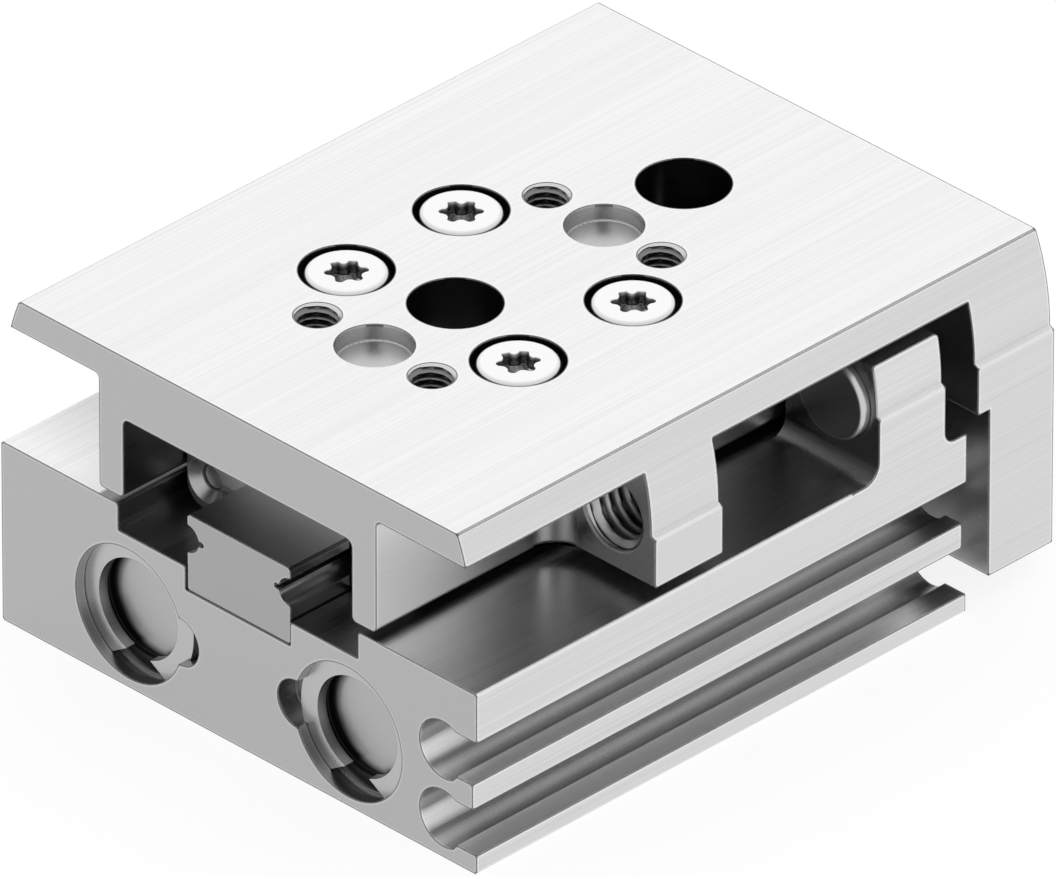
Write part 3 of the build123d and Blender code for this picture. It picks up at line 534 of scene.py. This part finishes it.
# Guide
# A ground steel rail is screwed into the housing's channel. A carriage runs on it on two rows of balls,
# with a plastic cap and a steel wiper plate at each end.
rail_finish = metal("guide_steel", base=0.68, cut=0.38, roughness=0.24, width=0.08, edge=0.14, slant=1.0)
carriage_finish = metal("carriage_steel", base=0.45, cut=0.4, roughness=0.3)
plate_finish = metal("plate_steel", base=0.45, cut=0.42, roughness=0.35, edge=0.06)
ball_finish = metal("ball_steel", base=0.8, cut=0.8, roughness=0.08, contrast=0.01)
screw_finish = metal("screw_steel", base=0.96, cut=0.8, roughness=0.22, contrast=0.01, edge=0.05)
cap_finish = matt("end_plastic", 0.06, 0.45, tint=(0.95, 1.0, 1.0))
button_finish = metal("button_steel", base=0.6, cut=0.33, roughness=0.34, edge=0.004)
for name, finish in (
    ("guide_rail", rail_finish), ("carriage_block", carriage_finish), ("end_cap_rear", cap_finish),
    ("end_cap_front", cap_finish), ("end_seal_rear", plate_finish), ("end_seal_front", plate_finish),
    ("ball_row_left", ball_finish), ("ball_row_right", ball_finish), ("retaining_wires", screw_finish),
    ("rail_screws", screw_finish), ("cap_screws", screw_finish),
):
    dress(name, finish)

STOP_Y, STOP_Z = -17.1, 17.7
BUTTON_RADIUS, BUTTON_RIM = 2.9, 0.36
BUTTON_REACH, BUTTON_SEAT = 0.7, 3.98


def stop_button():
    """Grid of the button: a flat face, a rounded rim, the ground side, and the back in the block.

    The rim runs along a quarter circle, with a radius of size - rim + rim * sin(bend) at a depth of
    rim * (1 - cos(bend)).
    """
    size, rim = BUTTON_RADIUS, BUTTON_RIM
    length = BUTTON_REACH + BUTTON_SEAT
    bend = np.linspace(0.0, np.pi / 2, 9)
    depths = np.concatenate([[0.0, 0.0], rim * (1 - np.cos(bend)), [length, length]])
    radii = np.concatenate([[0.0, size - rim - 0.1], size - rim + rim * np.sin(bend), [size, 0.0]])
    return turned_grid((BLOCK_REAR - BUTTON_REACH, STOP_Y, STOP_Z), (1, 0, 0), depths, radii, 96)


button = skin("stop_button_fine", [stop_button()], "housing", button_finish)
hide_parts("stop_button")

# Table
# The table is milled from one drawn bar and ground on top. Its outer faces are bright and brushed along the
# stroke, and the faces in the gap above the housing get painted shade, more toward the front and in the
# holes.
TOP, FRONT = 23.86, 29.1
WING_BOTTOM, FLANGE_OUTER, YOKE_INNER = 21.72, 12.1, 22.42
# Painted shade levels on the flange: its outer face near the rear and further forward, and its inside.
FLANGE_NEAR, FLANGE_FAR, FLANGE_INSIDE = 0.92, 0.5, 0.16
SCREW_PLACES = [(REAR + x, y) for x in (16.9, 26.9) for y in (-7.5, 7.5)]
# Holes in the top whose walls get painted shade: place, radius and the painted level of the wall.
HOLES = [(place, 3.06, 0.1) for place in SCREW_PLACES]
HOLES += [((REAR + x, 0.0), 3.1, 0.1) for x in (18.9, 38.9)]
HOLES += [((REAR + x, 0.0), 2.53, 0.61) for x in (11.9, 31.9)]


def gap_shade(tree, level):
    """Paints shade into a level in the gap under the wing, on the flanges the more the further they are from
    the rear end, and in the holes.

    HOLES has each hole's place in the top, its radius and the painted level of its wall.
    """
    x, y, z = millimetres(tree)
    reach = math_node(tree, "ABSOLUTE", y)
    under_wing = within(tree, z, 0.0, WING_BOTTOM, 0.1)
    gap = both_of(tree, within(tree, reach, 0.0, FLANGE_OUTER + 0.15, 0.02), under_wing)
    gap = both_of(tree, gap, within(tree, x, REAR + 0.02, YOKE_INNER, 0.01))
    outside = within(tree, reach, FLANGE_OUTER - 0.6, FLANGE_OUTER + 0.15, 0.3)
    flange = mix(tree, ramp(tree, x, REAR + 10.5, REAR + 20.0), FLANGE_NEAR, FLANGE_FAR)
    level = mix(tree, gap, level, mix(tree, outside, FLANGE_INSIDE, flange))
    below = within(tree, z, 0.0, TOP - 0.06, 0.03)
    # Painted shade on each hole's wall, at its level.
    for place, radius, dull in HOLES:
        wall = within(tree, distance_to(tree, x, y, place), -1.0, radius, 0.01)
        level = mix(tree, both_of(tree, wall, below), level, dull)
    return level


LOBE_CORE = 1.17
LOBE_MIDDLE, LOBE_SIZE = 1.05, 0.32
NOTCH_MIDDLE, NOTCH_SIZE = 1.41, 0.42
SIXTH = np.pi / 3


def six_lobes(columns):
    """Radius of a six-lobed recess by angle.

    It is a disc with a small circle added at each lobe and one taken off between: middle * cos(angle) plus or
    minus the root of size^2 - (middle * sin(angle))^2.
    """
    turn = np.arange(columns) / columns * 2 * np.pi
    near = np.abs(np.mod(turn + SIXTH / 2, SIXTH) - SIXTH / 2)
    aside = LOBE_MIDDLE * np.sin(near)
    lobe = LOBE_MIDDLE * np.cos(near) + np.sqrt(np.maximum(LOBE_SIZE**2 - aside**2, 0.0))
    lobe = np.where(aside < LOBE_SIZE, lobe, 0.0)
    aside = NOTCH_MIDDLE * np.sin(SIXTH / 2 - near)
    notch = NOTCH_MIDDLE * np.cos(SIXTH / 2 - near) - np.sqrt(np.maximum(NOTCH_SIZE**2 - aside**2, 0.0))
    notch = np.where(aside < NOTCH_SIZE, notch, np.inf)
    return np.minimum(np.maximum(lobe, LOBE_CORE), notch)


HEAD_RADIUS, HEAD_RIM, HEAD_HEIGHT, HEAD_SINK = 2.69, 0.32, 1.6, 0.06
SHANK_RADIUS, TIP_RADIUS = 1.5, 1.2
SCREW_COLUMNS = 120


def low_head_screw(origin, along, length, turn):
    """Grid of a low-head screw from the middle of its head's face along its shank.

    Rows run from the floor of the recess up its six-lobed wall, over the flat face and the rounded rim, down
    the head's side and the shank to the tip. turn shifts the lobes by that share of a turn.
    """
    rim, head, under, tip = HEAD_RIM, HEAD_RADIUS, HEAD_HEIGHT, HEAD_HEIGHT + length
    lobes = np.roll(six_lobes(SCREW_COLUMNS), int(turn * SCREW_COLUMNS))
    round_row = np.ones(SCREW_COLUMNS)
    bend = np.linspace(0.0, np.pi / 2, 7)
    rows = [(1.1, 0 * lobes), (1.0, 0.8 * lobes), (0.94, 0.97 * lobes), (0.08, lobes), (0.0, lobes + 0.05)]
    rows += [(0.0, 1.9 * round_row), (0.0, (head - rim - 0.05) * round_row)]
    rows += [(rim * (1 - np.cos(b)), (head - rim + rim * np.sin(b)) * round_row) for b in bend]
    rows += [(depth, radius * round_row) for depth, radius in (
        (under - 0.06, head), (under, head - 0.06), (under, SHANK_RADIUS),
        (tip - 0.3, SHANK_RADIUS), (tip, TIP_RADIUS), (tip, 0.0),
    )]
    depths, radii = [depth for depth, _ in rows], np.stack([radius for _, radius in rows])
    return turned_grid(origin, along, depths, radii, SCREW_COLUMNS)


# Share of painted shade at each head's rim, and the painted level in its recess.
RIM_SHARE, SOCKET_LEVEL = 0.62, 0.55


def head_shade(tree, level):
    """Paints shade toward the rim of each carriage screw's head, and on the walls of its recess."""
    x, y, z = millimetres(tree)
    below = within(tree, z, TOP - 1.5, TOP - 0.14, 0.03)
    for place in SCREW_PLACES:
        away = distance_to(tree, x, y, place)
        level = painted_darker(tree, within(tree, away, 2.48, 4.0, 0.16), level, RIM_SHARE)
        level = mix(tree, both_of(tree, within(tree, away, -1.0, 1.7, 0.02), below), level, SOCKET_LEVEL)
    return level


# Carriage screw heads with painted shade at the rim and in the recess.
head_finish = metal(
    "head_steel", base=0.96, cut=0.8, roughness=0.22, contrast=0.01, edge=0.05, dark=head_shade
)
CARRIAGE_SHANK, ROD_SHANK = 3.4, 6.4
FIRST_TURN, TURN_STEP, ROD_TURN = 0.01, 0.013, 0.02
carriage_screws = skin("carriage_screws_fine", [
    low_head_screw((x, y, TOP - HEAD_SINK), (0, 0, -1), CARRIAGE_SHANK, FIRST_TURN + TURN_STEP * i)
    for i, (x, y) in enumerate(SCREW_PLACES)
], "table", head_finish)
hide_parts("carriage_screws")
rod_screws = skin("rod_screws_fine", [
    low_head_screw((FRONT - HEAD_SINK, y, CYLINDER_Z), (-1, 0, 0), ROD_SHANK, ROD_TURN)
    for y in (-CYLINDER_Y, CYLINDER_Y)
], "table", screw_finish)
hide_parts("rod_screws")

THREADS_LOW, CONE_DEPTH = 18.0, 0.22
# Share of painted shade in the upper threads.
THREAD_SHARE = 0.35


def thread_shade(tree, level):
    """Paints shade below the cones of the table's four upper threads."""
    x, y, z = millimetres(tree)
    return painted_darker(tree, within(tree, z, THREADS_LOW, TOP - CONE_DEPTH, 0.05), level, THREAD_SHARE)


small_thread_finish = metal(
    "tapped_thread", base=0.66, cut=0.45, roughness=0.3, contrast=0.01, bump=0.0, edge=0.03, shade=0.02,
    dark=thread_shade,
)
lug_thread_finish = metal(
    "lug_thread", base=0.5, cut=0.5, roughness=0.36, contrast=0.01, bump=0.0, edge=0.05, shade=0.03
)
TOP_THREADS = [(REAR + x, y, TOP) for x in (11.9, 31.9) for y in (-5.0, 5.0)]
FRONT_THREADS = [(FRONT, y, z) for y in (-10.0, 10.0) for z in (11.0, 21.0)]
LUG_REAR, LUG_FRONT, LUG_BOTTOM = REAR + 15.5, REAR + 21.35, 13.86
skin("table_threads", [
    thread_wall(place, (0, 0, -1), major=1.5, pitch=0.5, length=3.7, outer=1.525) for place in TOP_THREADS
] + [
    thread_wall(place, (-1, 0, 0), major=1.5, pitch=0.5, length=4.7, outer=1.525) for place in FRONT_THREADS
], "table", small_thread_finish, ring=True)
skin("lug_thread", [
    thread_wall(
        (LUG_REAR + 0.11, STOP_Y, STOP_Z), (1, 0, 0), major=2.5, pitch=0.8, length=5.66, outer=2.52,
        mouths=(1, -1),
    )
], "table", lug_thread_finish, ring=True)

# The table's lower side and under levels, and the dark function, paint shade on it.
table_finish = metal(
    "table_aluminium", base=0.9, side=0.68, under=0.36, cut=0.46, roughness=0.3, contrast=0.075, slant=1.0,
    edge=0.2, dark=gap_shade,
)
dress("slide_table", table_finish)

ROOT_SINK = 0.05


def root_round(x, size, side):
    """Grid of the round that fills the corner between the lug's face at x and the near flange.

    Each row runs along a quarter circle of that size, at x + side * size * (1 - sin(bend)) and
    y - size * (1 - cos(bend)), and back inside both faces. The end rows are the middle of the lids.
    """
    y, low, high = -FLANGE_OUTER, LUG_BOTTOM, WING_BOTTOM + 0.2
    bend = np.linspace(0.0, np.pi / 2, 17)
    across = np.concatenate([
        x + side * size * (1 - np.sin(bend)), [x - side * ROOT_SINK] * 2, [x + side * size]
    ])
    out = np.concatenate([y - size * (1 - np.cos(bend)), [y - size, y + ROOT_SINK, y + ROOT_SINK]])
    row = np.stack([across, out, np.full(len(out), low)], -1)
    lid = row + (0.0, 0.0, high - low)
    first, last = np.broadcast_to(row.mean(0), row.shape), np.broadcast_to(lid.mean(0), row.shape)
    return np.stack([first, row, lid, last])


# The round takes a low level, painted shade in the corner under the wing.
root_finish = metal("lug_root", base=0.45, side=0.5, cut=0.46, roughness=0.3, contrast=0.02, edge=0.03)
skin("lug_roots", [
    root_round(LUG_REAR, 2.0, -1),
    root_round(LUG_FRONT, 1.0, 1),
], "table", root_finish)

# Studio
# A plain pale floor under soft light from all round, and the camera at the photograph's angle.
FLOOR_DROP = 0.02 * MM
FLOOR_REACH = 6.0
FLOOR_WHITE, FLOOR_SHINE, FLOOR_SHARE = 0.85, 1.15, 0.72


def white_floor():
    """Floor that shows white to the camera and in the metal, with the part's soft shadow."""
    floor_mesh = bpy.data.meshes.new("floor")
    turns = ((-1, -1), (1, -1), (1, 1), (-1, 1))
    corners = [(x * FLOOR_REACH, y * FLOOR_REACH, -FLOOR_DROP) for x, y in turns]
    floor_mesh.from_pydata(corners, [], [(0, 1, 2, 3)])
    floor = bpy.data.objects.new("floor", floor_mesh)
    bpy.context.scene.collection.objects.link(floor)
    material = bpy.data.materials.new("floor")
    material.use_nodes = True
    tree = material.node_tree
    tree.nodes.remove(tree.nodes["Principled BSDF"])
    out = tree.nodes["Material Output"]
    path = add(tree, "ShaderNodeLightPath").outputs
    seen = math_node(tree, "MAXIMUM", path["Is Camera Ray"], path["Is Glossy Ray"])
    seen = math_node(tree, "MAXIMUM", seen, path["Is Transmission Ray"])
    lit = add(tree, "ShaderNodeBsdfDiffuse", {"Color": grey(FLOOR_WHITE)}).outputs[0]
    shine = add(tree, "ShaderNodeEmission", {"Color": grey(1.0), "Strength": FLOOR_SHINE}).outputs[0]
    share = math_node(tree, "MULTIPLY", seen, FLOOR_SHARE)
    both = add(tree, "ShaderNodeMixShader", {0: share, 1: lit, 2: shine}).outputs[0]
    tree.links.new(both, out.inputs["Surface"])
    floor_mesh.materials.append(material)


FLAG_WAY = (-math.sqrt(0.5), -math.sqrt(0.5), 0.0)
FLAG_EDGE, FLAG_FULL, FLAG_LEVEL = 0.92, 0.98, 0.2
SECOND_BOUNCE = 1.5
SOFT_LIGHT = 0.8


def pale_world():
    """Even pale light all round, which shows white behind the part.

    Only light that comes by way of two or more shiny faces, as in a bore, sees one narrow dark flag in it.
    """
    world = bpy.data.worlds.new("studio")
    bpy.context.scene.world = world
    world.use_nodes = True
    tree = world.node_tree
    path = add(tree, "ShaderNodeLightPath").outputs
    way = add(tree, "ShaderNodeTexCoord").outputs["Generated"]
    flat = add(tree, "ShaderNodeVectorMath", {0: way, 1: (1.0, 1.0, 0.0)}, operation="MULTIPLY").outputs[0]
    flat = add(tree, "ShaderNodeVectorMath", {0: flat}, operation="NORMALIZE").outputs[0]
    toward = add(tree, "ShaderNodeVectorMath", {0: flat, 1: FLAG_WAY}, operation="DOT_PRODUCT")
    flag = ramp(tree, toward.outputs["Value"], FLAG_EDGE, FLAG_FULL, 1.0, FLAG_LEVEL)
    flag = mix(tree, math_node(tree, "GREATER_THAN", path["Glossy Depth"], SECOND_BOUNCE), 1.0, flag)
    soft = add(tree, "ShaderNodeBackground", {"Color": grey(1.0), "Strength": SOFT_LIGHT}).outputs[0]
    white = add(tree, "ShaderNodeBackground", {"Color": grey(1.0), "Strength": 1.0}).outputs[0]
    shown = add(tree, "ShaderNodeBackground", {"Color": grey(1.0), "Strength": flag}).outputs[0]
    behind = math_node(tree, "MAXIMUM", path["Is Camera Ray"], path["Is Transmission Ray"])
    both = add(tree, "ShaderNodeMixShader", {0: behind, 1: soft, 2: white}).outputs[0]
    both = add(tree, "ShaderNodeMixShader", {0: path["Is Glossy Ray"], 1: both, 2: shown}).outputs[0]
    tree.links.new(both, tree.nodes["World Output"].inputs["Surface"])


white_floor()
pale_world()

AZIMUTH, ELEVATION = math.radians(-44.955), math.radians(31.910)
TARGET = Vector((0.6 * MM, 0.0, 12.0 * MM))
DISTANCE = 2134.3 * MM
PHOTO_WIDTH, FOCAL_PIXELS = 1056, 34509
SHIFT_RIGHT, SHIFT_UP = 37.1, 9.2
SENSOR_WIDTH, FAR_CLIP = 36.0, 100.0
back = Vector((
    math.sin(AZIMUTH) * math.cos(ELEVATION), -math.cos(AZIMUTH) * math.cos(ELEVATION), math.sin(ELEVATION)
))
lens = bpy.data.cameras.new("camera")
lens.sensor_width = SENSOR_WIDTH
lens.lens = SENSOR_WIDTH * FOCAL_PIXELS / PHOTO_WIDTH
lens.shift_x = SHIFT_RIGHT / PHOTO_WIDTH
lens.shift_y = SHIFT_UP / PHOTO_WIDTH
lens.clip_end = FAR_CLIP
camera = bpy.data.objects.new("camera", lens)
camera.location = TARGET + back * DISTANCE
camera.rotation_euler = (-back).to_track_quat("-Z", "Y").to_euler()
bpy.context.scene.collection.objects.link(camera)
bpy.context.scene.camera = camera
bpy.context.scene.view_settings.view_transform = "Standard"
